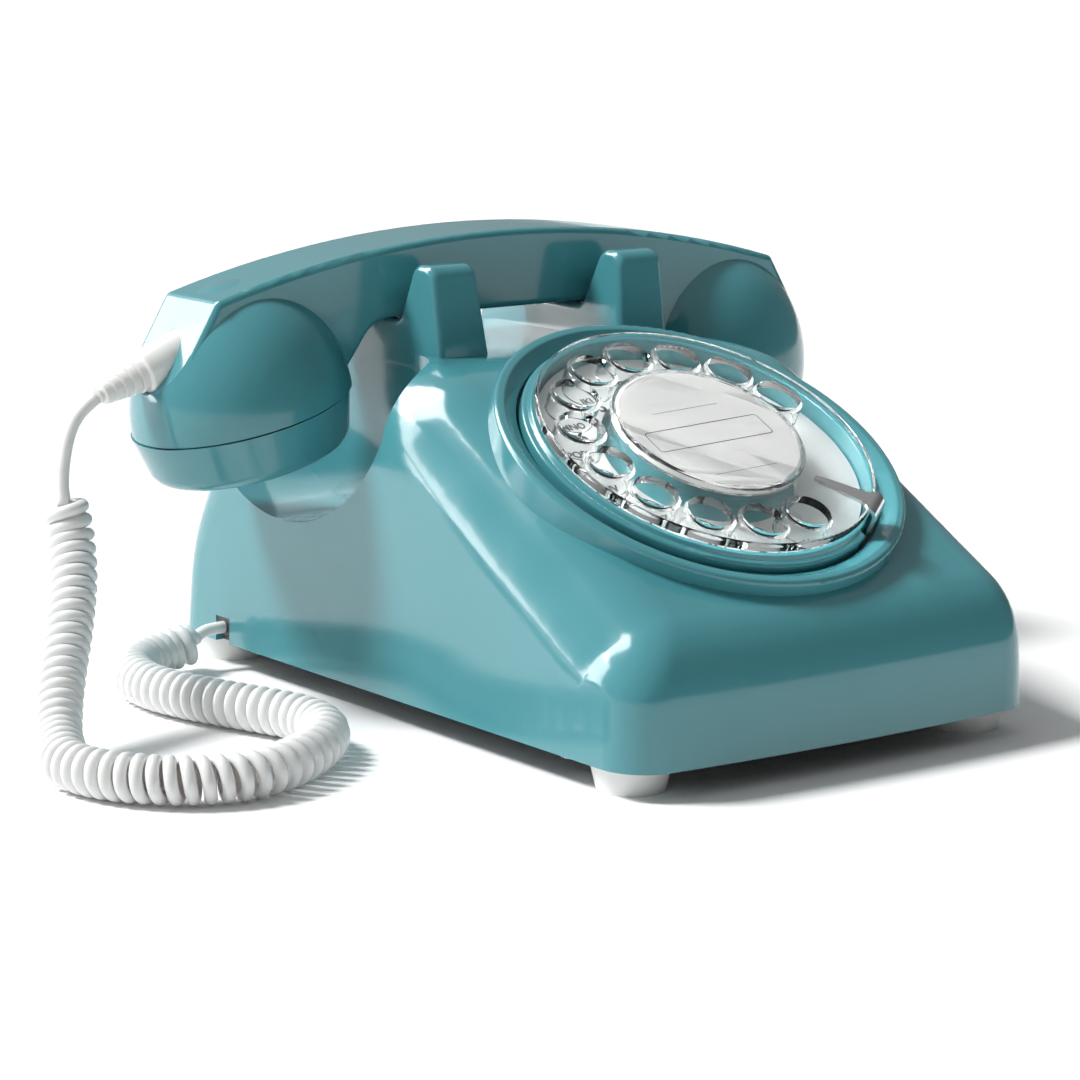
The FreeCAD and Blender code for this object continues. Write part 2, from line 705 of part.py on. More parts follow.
def handle_prism():
    """Arched handle with flat sloping ends that stop inside the domed cups."""
    inner = cup_point(-27, 0.4)
    right = [(inner[0] - 13, 113.4, 12), inner, cup_point(27, 0.4), (end_x(107.6), 107.6),
             (end_x(122.5), 122.5)]
    body = new_body("handle")
    sketch = new_sketch(body, "handle_outline", "XZ_Plane")
    shapes = rounded(right + [(-c[0],) + c[1:] for c in reversed(right)])
    level = [g for g in shapes if isinstance(g, Part.LineSegment)
             and abs(g.StartPoint.y - g.EndPoint.y) < 0.01]
    chord = max(level, key=lambda g: g.StartPoint.y)
    ends = sorted((chord.StartPoint, chord.EndPoint), key=lambda p: p.x)
    shapes[shapes.index(chord)] = Part.Arc(ends[1], Vec(0, size("handset_top"), 0), ends[0])
    draw(sketch, shapes)
    pad = body.newObject("PartDesign::Pad", "handle_pad")
    pad.Profile = sketch
    pad.Length = size("handset_depth")
    pad.Midplane = True
    bind(pad, "Length", "Params.handset_depth")
    body.Tip = pad
    body.Placement = Place(Vec(0, size("handset_y"), 0), Rot())
    bind(body, ".Placement.Base.y", "Params.handset_y")
    return softened("handle_ends", body, 2.4, lambda e: (
        e.BoundBox.YLength > 5 and abs(edge_middle(e).x) > 100 and edge_middle(e).z > 110))


def cup_dome(side, inset, label):
    """Domed cup that rises from the seam and fades into the handle."""
    dome = doc.addObject("Part::Ellipsoid", label + "_dome")
    dome.Radius1 = size("dome_height") - inset
    dome.Radius2 = size("cup_radius") - 0.4 - inset
    dome.Radius3 = size("cup_radius") - 0.4 - inset
    dome.Angle1 = -45
    dome.Placement = Place(Vec(side * (size("cup_x") - 0.8), size("handset_y"), size("cup_z")), Rot())
    above = cylinder(label + "_above_seam", 60, 60,
                     cup_frame(side).multiply(Place(Vec(0, 0, -0.05 * inset), Rot())))
    whole = common(label + "_whole", [dome, above])
    return cut(label, whole, beyond_end(side, inset, label + "_end"))


def build_handset():
    soft = softened("handle_soft", handle_prism(), 2.0, lambda e: (
        e.BoundBox.YLength < 0.5 and edge_middle(e).z > 97))
    solid = fused("handset_solid", [
        soft, cup_dome(-1, 0, "cup_left"), cup_dome(1, 0, "cup_right")])
    hollow_cones = [cup_dome(-1, 2.6, "cup_left_core"), cup_dome(1, 2.6, "cup_right_core")]
    duct = padded("handle_duct", [(-82, 118), (82, 118), (82, 124, 3), (40, 131.5, 40), (-40, 131.5, 40),
                                  (-82, 124, 3)], 20, "XZ_Plane", middle=True)
    duct.Placement.Base = Vec(0, size("handset_y"), 0)
    boot_pocket = turned("boot_pocket", [
        (0, -12.6), (7.5, -12.6), (7.2, -5), (6.5, 2.65), (6.5, 9), (0, 9)], BOOT)
    cavity = fused("handset_cavity", hollow_cones + [duct, boot_pocket])
    shell = cut("handset_shell", solid, cavity)

    items = [shell]
    for side, name in ((-1, "mouthpiece"), (1, "earpiece")):
        frame = cup_frame(side)
        radius = size("cup_radius") - 0.4
        depth = size("cap_depth")
        cap = turned(name + "_cap_turned", [
            (0, -depth), (radius - 3.6, -depth, 5.5), (radius, -0.4), (radius - 2.4, -0.4),
            (radius - 5.4, -depth + 2.2, 4), (0, -depth + 2.2)], frame)
        holes = []
        rings = ((0, 1), (6, 6), (12, 12)) if side < 0 else ((0, 1), (4.5, 6))
        for ring, count in rings:
            for k in range(count):
                x, y = polar(ring, 360.0 * k / count)
                place = frame.multiply(Place(Vec(x, y, -depth - 1), Rot()))
                holes.append(cylinder(name + "_hole", 1.3, 5, place))
        items.append(cut(name + "_cap", cap, fused(name + "_holes", holes)))
        capsule = turned(name + "_capsule", [
            (0, -depth + 2.6), (20, -depth + 2.6), (22.5, -9.5), (22.5, -2), (18, 2), (0, 2)], frame)
        items.append(capsule)
        seat = turned(name + "_seat", [
            (22.5, -2.6), (radius - 3.2, -2.6), (radius - 3.2, -1.0), (22.5, -1.0)], frame)
        items.append(seat)
    ribs = [(0, -12.5), (7.4, -12.5), (7.1, -5), (6.4, 2.6, 0.6)]
    for k in range(5):
        radius = 5.4 - 0.45 * k
        start = 3.4 + 2.95 * k
        ribs += [(radius, start), (radius - 0.2, start + 2.0), (radius - 1.2, start + 2.4),
                 (radius - 1.3, start + 2.75)]
    ribs += [(2.4, 18.8), (0, 18.8)]
    items.append(turned("cord_boot", ribs, BOOT))
    items.append(box("handset_weight", -18, 18, size("handset_y") - 8, size("handset_y") + 8, 118, 126))
    return items


# ---------------------------------------------------------------- hook switch, ringer, board
def build_hook():
    seat = size("saddle_height")
    mid = size("handset_y")
    plungers = []
    for name, x in (("left", -36), ("right", 36)):
        plungers.append(padded("plunger_" + name, [
            (x - 2.5, 88.4), (x + 2.5, 88.4), (x + 2.5, seat - 0.1, 1), (x - 2.5, seat - 0.1, 1)],
            8.4, "XZ_Plane", Place(Vec(0, mid, 0), Rot()), middle=True))
    bar = box("hook_bar", -33.4, 33.4, mid - 3, mid + 3, 88.6, 90.6)
    bracket = fused("switch_bracket", [
        box("bracket_web", -14, 14, mid + 8, mid + 9.5, 60, 86),
        box("bracket_ledge", -14, 14, mid - 6, mid + 8, 60, 61.5)])
    contacts = [box("switch_body", -9, 9, mid - 3, mid + 5, 61.5, 72)]
    for k in range(3):
        contacts.append(box("switch_leaf", -8 + 6 * k, -4 + 6 * k, mid - 5.4, mid - 5.1, 62, 82))
    contacts.append(box("switch_comb", -9, 9, mid - 5.6, mid - 3, 62, 64))
    spring = doc.addObject("Part::Helix", "hook_helix")
    spring.Pitch = 2.6
    spring.Height = 15.0
    spring.Radius = 2.6
    coil = doc.addObject("Part::Sweep", "hook_spring")
    wire = doc.addObject("Part::Circle", "hook_spring_wire")
    wire.Radius = 0.4
    wire.Placement = Place(Vec(2.6, 0, 0), Rot(AXIS_X, 90))
    coil.Sections = [wire]
    coil.Spine = (spring, ["Edge1"])
    coil.Solid = True
    coil.Frenet = True
    coil.Placement = Place(Vec(0, mid, 73.0), Rot())
    return plungers + [bar, bracket, fused("hook_contacts", contacts), coil]


def build_ringer():
    radius = size("gong_radius")
    y = size("gong_y")
    items = []
    for name, side in (("left", -1), ("right", 1)):
        x = side * size("gong_x")
        gong = turned("gong_" + name, [
            (2.1, 27.0), (2.1, 28.4), (12, 28.4, 4), (radius - 4, 26, 6), (radius, 16), (radius - 1.4, 16),
            (radius - 5.2, 24.6, 5), (11, 27.0, 3)], Place(Vec(x, y, 0), Rot()))
        items.append(gong)
        items.append(fused("gong_post_" + name, [
            cylinder("post_stem", 2.0, 19.0, Place(Vec(x, y, 10.4), Rot())),
            cylinder("post_shoulder", 3.6, 16.6, Place(Vec(x, y, 10.4), Rot())),
            cylinder("post_screw", 3.4, 1.6, Place(Vec(x, y, 28.4), Rot()))]))
    items.append(fused("ringer_yoke", [
        box("yoke_base", -18, 18, 10, 26, 10.4, 12.4),
        box("yoke_left", -18, -16, 10, 33, 12.4, 27),
        box("yoke_right", 16, 18, 10, 33, 12.4, 27)]))
    items.append(fused("ringer_coil", [
        cylinder("coil_winding", 7, 26, Place(Vec(-13, 18, 20), Rot(Vec(0, 1, 0), 90))),
        cylinder("coil_core", 2.5, 32, Place(Vec(-16, 18, 20), Rot(Vec(0, 1, 0), 90)))]))
    items.append(cylinder("clapper_pin", 1.0, 16, Place(Vec(0, 36.5, 10.4), Rot())))
    hub = cut("clapper_hub", cylinder("clapper_boss", 3, 6, Place(Vec(0, 36.5, 16.5), Rot())),
              cylinder("clapper_bore", 1.06, 8, Place(Vec(0, 36.5, 15.5), Rot())))
    ball = doc.addObject("Part::Sphere", "clapper_ball")
    ball.Radius = 2.6
    ball.Placement.Base = Vec(0, y, 20)
    armature = cut("armature", box("armature_bar", -17, 17, 34.9, 36.4, 17, 23),
                   cylinder("armature_gap", 2.0, 8, Place(Vec(0, 36.5, 16), Rot())))
    rod = cylinder("clapper_rod", 0.9, y - 39, Place(Vec(0, 39.3, 20), Rot(AXIS_X, -90)))
    items.append(fused("clapper", [hub, ball, armature, rod]))
    return items


def build_board():
    half = size("board_width") / 2.0
    front = -96.0
    board = padded("circuit_board", box_corners(-half, half, front, front + size("board_length"), 2), 1.6,
                   place=Place(Vec(0, 0, 16), Rot()), alias="Params.board_thick")
    posts = []
    for x in (-1, 1):
        for y in (front + 5, front + size("board_length") - 5):
            posts.append(cylinder("board_post", 3, 5.6, Place(Vec(x * (half - 6), y, 10.4), Rot())))
    parts = [box("chip", -8, 8, -70, -62, 17.6, 21.6),
             box("transformer", 20, 38, -66, -50, 17.6, 30),
             box("relay", -40, -25, -52, -42, 17.6, 27),
             box("terminal_block", -30, 30, -36, -30, 17.6, 25)]
    for x, y, r, z in ((-20, -84, 4, 12), (0, -84, 3, 9), (18, -84, 5, 11), (-38, -70, 3, 7), (12, -48, 2.5, 6)):
        parts.append(cylinder("capacitor", r, z, Place(Vec(x, y, 17.6), Rot())))
    socket = cut("line_socket", box("socket_body", 38, 52, 106.6, 119.6, 11, 23),
                 fused("socket_mouths", [box("socket_mouth", 40, 50, 108, 121, 13, 20),
                                         box("socket_key", 43, 47, 108, 121, 20, 21.6)]))
    grommet = cut("cord_grommet", box("grommet_block", -74.0, -66.5, 86.1, 93.9, 10.5, 15.9),
                  cylinder("grommet_bore", 1.9, 12, Place(Vec(-77, 90, 12.9), Rot(Vec(0, 1, 0), 90))))
    return [board, fused("board_posts", posts), fused("board_components", parts), socket, grommet]


# ---------------------------------------------------------------- cord
def route(points):
    """Straight runs joined by tangent arcs; returns the edges and the radii."""
    edges = []
    radii = []
    last = points[0]
    for i in range(1, len(points) - 1):
        here = points[i]
        back = points[i - 1] - here
        on = points[i + 1] - here
        shorter = min(back.Length, on.Length)
        half_turn = (math.pi - back.getAngle(on)) / 2.0
        radius = 0.45 * shorter / math.tan(half_turn)
        reach = 0.45 * shorter
        u = Vec(back).normalize()
        v = Vec(on).normalize()
        first = here + u * reach
        end = here + v * reach
        inward = (u + v).normalize()
        centre = here + inward * (radius / math.cos(half_turn))
        edges.append(Part.LineSegment(last, first).toShape())
        edges.append(Part.Arc(first, centre - inward * radius, end).toShape())
        radii.append(radius)
        last = end
    edges.append(Part.LineSegment(last, points[-1]).toShape())
    return edges, radii


def tube(name, points, width):
    vectors = [Vec(*p) for p in points]
    edges, radii = route(vectors)
    wire = Part.Wire(edges)
    along = (vectors[1] - vectors[0]).normalize()
    ring = Part.Wire(Part.Circle(vectors[0], along, width / 2.0).toShape())
    solid = wire.makePipeShell([ring], True, True)
    item = doc.addObject("Part::Feature", name)
    item.Shape = solid
    expected = math.pi * width ** 2 / 4.0 * wire.Length
    print(name, "length %.1f" % wire.Length, "radii", [round(r, 1) for r in radii],
          "volume %.0f expected %.0f" % (solid.Volume, expected))
    return item


LEAD = [(-137.2, 54, 95.4), (-143.2, 54, 91.8), (-147.8, 53, 84.4), (-150.6, 51.8, 72.0),
        (-150.2, 50.2, 65.0)]
HANGING = [(-150.2, 50.2, 65.0), (-149.66, 48.03, 55.5), (-153.0, 41.0, 45.5), (-161.0, 30.0, 33.0),
           (-170.5, 18.5, 21.0), (-179.5, 4.5, 10.4), (-183.5, -5.5, 8.7)]
LYING = [(-183.5, -5.5, 8.7), (-187.5, -15.5, 7.0), (-184.0, -34.0, 7.3), (-171.0, -50.0, 7.3),
         (-151.0, -55.5, 7.3), (-129.0, -46.0, 7.3), (-110.5, -29.0, 7.3), (-105.0, -10.0, 7.3),
         (-112.0, 12.0, 7.3), (-119.5, 34.0, 7.3), (-122.5, 54.0, 7.3), (-117.5, 74.0, 7.3),
         (-107.0, 85.5, 7.3), (-97.0, 90.0, 7.9), (-92.0, 90.0, 8.55)]
TAIL = [(-92.0, 90.0, 8.55), (-86.8, 90.0, 9.226), (-81.8, 90.0, 12.3), (-77.6, 90.0, 12.9),
        (-66.0, 90.0, 12.9)]


def build_cord():
    return [tube("handset_cord_lead", LEAD, size("cord_width")),
            tube("handset_cord_coil_high", HANGING, size("coil_width")),
            tube("handset_cord_coil_low", LYING, size("coil_width")),
            tube("handset_cord_tail", TAIL, size("cord_width"))]


# ---------------------------------------------------------------- build and export
NODES = [build_housing()]
NODES += build_base()
NODES += build_dial()
NODES += build_handset()
NODES += build_hook()
NODES += build_ringer()
NODES += build_board()
NODES += build_cord()
doc.recompute()

for obj in doc.Objects:
    if "Invalid" in obj.State or "Error" in obj.State:
        raise RuntimeError("%s did not build" % obj.Label)

os.makedirs("parts", exist_ok=True)
for node in NODES:
    shape = node.Shape
    if shape.isNull() or not shape.isValid():
        raise RuntimeError("%s has no valid shape" % node.Label)
    shape.exportStep("parts/%s.step" % node.Label)
    bounds = shape.optimalBoundingBox()
    print("%-24s solids %d volume %9.1f  z %6.1f to %6.1f" % (
        node.Label, len(shape.Solids), shape.Volume, bounds.ZMin, bounds.ZMax))
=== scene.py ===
import json
import math

import bpy
import bmesh
from mathutils import Matrix, Vector


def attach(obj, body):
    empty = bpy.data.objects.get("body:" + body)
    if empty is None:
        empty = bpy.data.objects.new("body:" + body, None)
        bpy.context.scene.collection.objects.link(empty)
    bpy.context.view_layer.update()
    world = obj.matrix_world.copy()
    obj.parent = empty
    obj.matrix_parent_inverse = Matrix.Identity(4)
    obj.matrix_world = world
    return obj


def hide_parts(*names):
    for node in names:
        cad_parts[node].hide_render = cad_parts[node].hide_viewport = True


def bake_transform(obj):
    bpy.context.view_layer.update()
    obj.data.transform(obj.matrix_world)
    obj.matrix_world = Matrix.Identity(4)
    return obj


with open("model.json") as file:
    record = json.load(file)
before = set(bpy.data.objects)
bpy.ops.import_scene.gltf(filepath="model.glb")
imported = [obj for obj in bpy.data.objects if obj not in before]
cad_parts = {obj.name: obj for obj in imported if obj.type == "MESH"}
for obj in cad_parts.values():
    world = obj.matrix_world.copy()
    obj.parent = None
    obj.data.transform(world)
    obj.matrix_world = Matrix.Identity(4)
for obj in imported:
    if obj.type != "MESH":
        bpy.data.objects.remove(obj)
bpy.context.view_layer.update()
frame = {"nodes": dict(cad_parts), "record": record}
NODES = frame["nodes"]

# ---------------------------------------------------------------- camera
AZIMUTH = math.radians(-35.97)
ELEVATION = math.radians(10.84)
CAMERA_PLACE = (-0.6469, -0.8683, 0.2535)
LENS = 120.96
SENSOR_WIDTH = 36


def make_camera():
    """Camera at the height and side the telephone is seen from."""
    right = Vector((math.cos(AZIMUTH), math.sin(AZIMUTH), 0))
    back = Vector((math.sin(AZIMUTH) * math.cos(ELEVATION),
                   -math.cos(AZIMUTH) * math.cos(ELEVATION), math.sin(ELEVATION)))
    up = back.cross(right)
    data = bpy.data.cameras.new("camera")
    data.lens = LENS
    data.sensor_width = SENSOR_WIDTH
    camera = bpy.data.objects.new("camera", data)
    turn = Matrix((right, up, back)).transposed().to_4x4()
    camera.matrix_world = Matrix.Translation(CAMERA_PLACE) @ turn
    bpy.context.scene.collection.objects.link(camera)
    bpy.context.scene.camera = camera


# ---------------------------------------------------------------- materials
class Shader:
    """A Principled material with helpers for its procedural detail."""

    def __init__(self, name, color, roughness, **inputs):
        self.material = bpy.data.materials.new(name)
        self.material.use_nodes = True
        self.tree = self.material.node_tree
        self.base = self.tree.nodes["Principled BSDF"]
        self.color = color + (1.0,)
        self.base.inputs["Base Color"].default_value = self.color
        self.base.inputs["Roughness"].default_value = roughness
        for key, value in inputs.items():
            self.base.inputs[key.replace("_", " ")].default_value = value
        self.coords = self.tree.nodes.new("ShaderNodeTexCoord")
        self.last_bump = None

    def noise(self, scale, detail=3.0, stretch=None):
        """Noise over the piece's own coordinates, stretched along its axes if asked."""
        texture = self.tree.nodes.new("ShaderNodeTexNoise")
        texture.inputs["Scale"].default_value = scale
        texture.inputs["Detail"].default_value = detail
        source = self.coords.outputs["Object"]
        if stretch:
            mapping = self.tree.nodes.new("ShaderNodeMapping")
            mapping.inputs["Scale"].default_value = stretch
            self.tree.links.new(source, mapping.inputs["Vector"])
            source = mapping.outputs["Vector"]
        self.tree.links.new(source, texture.inputs["Vector"])
        return texture.outputs["Fac"]

    def ranged(self, value, low, high):
        """The value from 0.3 to 0.7 spread over low to high."""
        node = self.tree.nodes.new("ShaderNodeMapRange")
        node.inputs["From Min"].default_value = 0.3
        node.inputs["From Max"].default_value = 0.7
        node.inputs["To Min"].default_value = low
        node.inputs["To Max"].default_value = high
        self.tree.links.new(value, node.inputs["Value"])
        return node.outputs["Result"]

    def vary_color(self, scale, amount, detail=4.0):
        """Blotches a little darker and lighter than the base colour."""
        mix = self.tree.nodes.new("ShaderNodeMix")
        mix.data_type = "RGBA"
        dark = tuple(c * (1 - amount) for c in self.color[:3]) + (1.0,)
        light = tuple(min(1.0, c * (1 + amount)) for c in self.color[:3]) + (1.0,)
        mix.inputs["A"].default_value = dark
        mix.inputs["B"].default_value = light
        self.tree.links.new(self.noise(scale, detail), mix.inputs["Factor"])
        self.tree.links.new(mix.outputs["Result"], self.base.inputs["Base Color"])
        return self

    def vary_roughness(self, scale, low, high, stretch=None):
        """Duller and glossier areas between the two roughness values."""
        value = self.ranged(self.noise(scale, 5.0, stretch), low, high)
        self.tree.links.new(value, self.base.inputs["Roughness"])
        return self

    def bump(self, scale, strength, distance, detail=3.0, stretch=None):
        """Fine relief, added on top of any relief the material already has."""
        node = self.tree.nodes.new("ShaderNodeBump")
        node.inputs["Strength"].default_value = strength
        node.inputs["Distance"].default_value = distance
        self.tree.links.new(self.noise(scale, detail, stretch), node.inputs["Height"])
        if self.last_bump:
            self.tree.links.new(self.last_bump.outputs["Normal"], node.inputs["Normal"])
        self.tree.links.new(node.outputs["Normal"], self.base.inputs["Normal"])
        self.last_bump = node
        return self


def teal_plastic():
    """Glossy moulded plastic with a faint orange peel and soft smudges."""
    shader = Shader("teal_plastic", (0.068, 0.28, 0.318), 0.16, Specular_IOR_Level=0.55,
                    Coat_Weight=0.3, Coat_Roughness=0.05)
    shader.vary_color(22, 0.04).vary_roughness(55, 0.12, 0.2)
    return shader.bump(420, 0.04, 0.0003).bump(35, 0.02, 0.002).material


def white_plastic():
    """Satin white moulding."""
    shader = Shader("white_plastic", (0.80, 0.80, 0.79), 0.35)
    shader.vary_color(60, 0.02).vary_roughness(90, 0.3, 0.42)
    return shader.bump(900, 0.06, 0.0002).material


def cord_rubber():
    """Satin white jacket of the cord, with fine dust in its grain."""
    shader = Shader("cord_rubber", (0.83, 0.83, 0.82), 0.34, Coat_Weight=0.15, Coat_Roughness=0.2,
                    Subsurface_Weight=0.05)
    shader.vary_color(150, 0.02).vary_roughness(120, 0.28, 0.42)
    return shader.bump(1500, 0.08, 0.0002).material


def foot_rubber():
    """Pale dull rubber of the feet."""
    shader = Shader("foot_rubber", (0.82, 0.82, 0.80), 0.5)
    return shader.vary_color(80, 0.03).bump(1200, 0.12, 0.0003).material


def clear_acrylic():
    """Clear moulded acrylic with hairline scratches; light falls straight through it."""
    shader = Shader("clear_acrylic", (0.985, 0.995, 0.99), 0.02, Transmission_Weight=1.0, IOR=1.42)
    shader.vary_roughness(300, 0.0, 0.05, (1, 12, 1)).bump(250, 0.02, 0.0002)
    tree = shader.tree
    path = tree.nodes.new("ShaderNodeLightPath")
    open_way = tree.nodes.new("ShaderNodeBsdfTransparent")
    open_way.inputs["Color"].default_value = (0.95, 0.96, 0.96, 1.0)
    mix = tree.nodes.new("ShaderNodeMixShader")
    tree.links.new(path.outputs["Is Shadow Ray"], mix.inputs[0])
    tree.links.new(shader.base.outputs["BSDF"], mix.inputs[1])
    tree.links.new(open_way.outputs["BSDF"], mix.inputs[2])
    tree.links.new(mix.outputs["Shader"], tree.nodes["Material Output"].inputs["Surface"])
    return shader.material


def number_face():
    """Smooth grey-white enamel of the number plate."""
    shader = Shader("number_face", (0.50, 0.51, 0.51), 0.3)
    shader.vary_color(45, 0.02).vary_roughness(150, 0.25, 0.38)
    return shader.bump(1500, 0.05, 0.0001).material


def card_paper():
    """Matt paper with a fine tooth."""
    shader = Shader("card_paper", (0.60, 0.60, 0.595), 0.6)
    return shader.vary_color(500, 0.02).bump(2500, 0.15, 0.0001, 5.0).material


def ink():
    """Black print, slightly uneven."""
    shader = Shader("ink", (0.012, 0.012, 0.014), 0.42)
    return shader.vary_color(700, 0.2).bump(2500, 0.1, 0.00005).material


def chrome():
    """Polished strip with a faint grain across Z."""
    shader = Shader("chrome", (0.82, 0.82, 0.83), 0.1, Metallic=1.0)
    shader.vary_roughness(200, 0.14, 0.28, (1, 1, 14))
    return shader.bump(600, 0.03, 0.0002).material


def steel():
    """Zinc-plated sheet with a brushed grain along X."""
    shader = Shader("steel", (0.52, 0.53, 0.54), 0.35, Metallic=1.0)
    shader.vary_color(70, 0.06).vary_roughness(160, 0.28, 0.45, (0.2, 6, 6))
    return shader.bump(700, 0.08, 0.0002, 3.0, (0.1, 4, 4)).material


def painted_plate():
    """Dark powder paint on sheet steel."""
    shader = Shader("painted_plate", (0.09, 0.095, 0.1), 0.45)
    shader.vary_color(30, 0.1).vary_roughness(60, 0.38, 0.55)
    return shader.bump(900, 0.15, 0.0002).material


def brass():
    """Machined brass, a little tarnished."""
    shader = Shader("brass", (0.70, 0.52, 0.22), 0.3, Metallic=1.0)
    shader.vary_color(90, 0.08).vary_roughness(140, 0.2, 0.4)
    return shader.bump(800, 0.05, 0.0002).material


def copper_winding():
    """Enamelled wire wound round the coil, drawn as fine ridges along X."""
    shader = Shader("copper_winding", (0.48, 0.16, 0.06), 0.3, Metallic=0.7)
    return shader.vary_color(120, 0.1).bump(900, 0.4, 0.0003, 1.0, (3, 0.02, 0.02)).material


def nylon():
    """Cream nylon with a soft glow."""
    shader = Shader("nylon", (0.70, 0.69, 0.63), 0.4, Subsurface_Weight=0.1)
    shader.vary_color(80, 0.03).vary_roughness(100, 0.35, 0.5)
    return shader.bump(900, 0.06, 0.0002).material


def black_plastic():
    """Dark moulding with a fine grain; on the cord grommet this black is painted shade, standing
    for the shadowed gap where the cord goes into the housing.
    """
    shader = Shader("black_plastic", (0.018, 0.018, 0.02), 0.4)
    shader.vary_color(90, 0.15).vary_roughness(120, 0.32, 0.5)
    return shader.bump(1100, 0.15, 0.0002).material


def board_lacquer():
    """Green lacquer of the circuit board."""
    shader = Shader("board_lacquer", (0.02, 0.12, 0.05), 0.3, Coat_Weight=0.4)
    shader.vary_color(200, 0.12).vary_roughness(150, 0.22, 0.38)
    return shader.bump(700, 0.1, 0.0002).material


def felt():
    """Black felt with a loose nap."""
    shader = Shader("felt", (0.03, 0.03, 0.03), 0.95, Sheen_Weight=0.4)
    return shader.vary_color(900, 0.3).bump(1600, 0.5, 0.0005, 6.0).material


MAKERS = {
    "housing_teal": teal_plastic, "handset_teal": teal_plastic, "white_rubber": foot_rubber,
    "steel": steel, "plate_steel": painted_plate, "number_face": number_face,
    "clear": clear_acrylic, "white_plastic": white_plastic, "paper": card_paper,
    # The black_plastic slot also dresses the cord grommet, where the black is painted shade of the
    # gap the cord enters through.
    "chrome_strip": chrome, "brass_metal": brass, "nylon": nylon, "black_plastic": black_plastic,
    "board_green": board_lacquer, "cord_white": cord_rubber, "copper": copper_winding,
    "socket_plastic": black_plastic, "felt": felt,
}


def dress_nodes():
    """Gives every CAD node the finish of its slot."""
    made = {}
    for part in frame["record"]["subparts"]:
        maker = MAKERS[part["material_slot"]]
        if maker not in made:
            made[maker] = maker()
        slots = NODES[part["node"]].material_slots
        for place in slots:
            place.material = made[maker]
    return made


# ---------------------------------------------------------------- pieces
DIAL = Matrix.Translation((0, -0.0553, 0.0795)) @ Matrix.Rotation(math.radians(28.9), 4, "X")
PRINT_HALF_THICKNESS = 0.00003
STROKE_SHARE = 0.03

# Printing on the number plate, placed in the dial's own frame.
LABELS = (("1", ""), ("2", "ABC"), ("3", "DEF"), ("4", "GHI"), ("5", "JKL"), ("6", "MNO"),
          ("7", "PQRS"), ("8", "TUV"), ("9", "WXYZ"), ("*", ""), ("0", ""), ("#", ""))
LABEL_HEIGHT = -0.00097
LABEL_RING = 0.0396
LABEL_SHIFT_X = -0.0005
LABEL_SHIFT_Y = -0.0038
FIRST_LABEL = 21
LABEL_STEP = 24
NUMBER_DROP = 0.0056
NUMBER_REACH = 0.0452
NUMBER_SIZE = 0.0062
STAR_SIZE = 0.0088
LETTER_SIZE = 0.0038

# Printing on the card: an empty name box and two ruled lines.
CARD_PLACE = (-0.0013, -0.0019, 0.00913)
CARD_TURN = math.radians(4.0)
BOX_HALF_X = 0.0216
BOX_HALF_Y = 0.0045
BOX_CORNER = 0.0012
BOX_CORNER_STEPS = 4
BOX_LINE_WIDTH = 0.00028
RULED_LINES = (((-0.0125, 0.0120), (0.0125, 0.0120)), ((-0.0115, -0.0176), (0.0120, -0.0176)))
RULED_LINE_WIDTH = 0.00016


def add_mesh(name, bm, material):
    """A new object in the scene from the bmesh, with one material."""
    mesh = bpy.data.meshes.new(name)
    bm.to_mesh(mesh)
    bm.free()
    item = bpy.data.objects.new(name, mesh)
    bpy.context.scene.collection.objects.link(item)
    mesh.materials.append(material)
    return item


def label_mesh(name, words, size, x, y, material):
    """Characters printed on the number plate, as a thin raised mesh."""
    curve = bpy.data.curves.new(name, "FONT")
    curve.body = words
    curve.size = size
    curve.align_x = "CENTER"
    curve.align_y = "CENTER"
    curve.extrude = PRINT_HALF_THICKNESS
    curve.offset = size * STROKE_SHARE
    curve.resolution_u = 6
    source = bpy.data.objects.new(name + "_source", curve)
    bpy.context.scene.collection.objects.link(source)
    bpy.context.view_layer.update()
    mesh = bpy.data.meshes.new_from_object(source)
    bpy.data.objects.remove(source)
    item = bpy.data.objects.new(name, mesh)
    bpy.context.scene.collection.objects.link(item)
    mesh.materials.clear()
    mesh.materials.append(material)
    item.matrix_world = DIAL @ Matrix.Translation((x, y, LABEL_HEIGHT))
    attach(item, "housing")


def build_labels(black):
    """Each finger hole's number, with its letters above it, kept inside the plate's edge."""
    for k, (number, letters) in enumerate(LABELS):
        angle = math.radians(FIRST_LABEL + LABEL_STEP * k)
        x = LABEL_RING * math.cos(angle) + LABEL_SHIFT_X
        y = LABEL_RING * math.sin(angle) + LABEL_SHIFT_Y
        size = STAR_SIZE if number == "*" else NUMBER_SIZE
        low = y - NUMBER_DROP
        fit = min(1.0, NUMBER_REACH / math.hypot(x, low))
        label_mesh("number_%d" % k, number, size, x * fit, low * fit, black)
        if letters:
            label_mesh("letters_%d" % k, letters, LETTER_SIZE, x, y, black)


def line_strip(bm, points, width):
    """A flat printed line of that width through the points."""
    count = len(points)
    rows = []
    for i, point in enumerate(points):
        before = Vector(points[max(0, i - 1)])
        after = Vector(points[min(count - 1, i + 1)])
        along = (after - before).normalized()
        side = Vector((-along.y, along.x)) * width / 2
        centre = Vector(point)
        pair = (centre + side, centre - side)
        rows.append([bm.verts.new((p.x, p.y, 0)) for p in pair])
    for a, b in zip(rows, rows[1:]):
        bm.faces.new((a[0], a[1], b[1], b[0]))


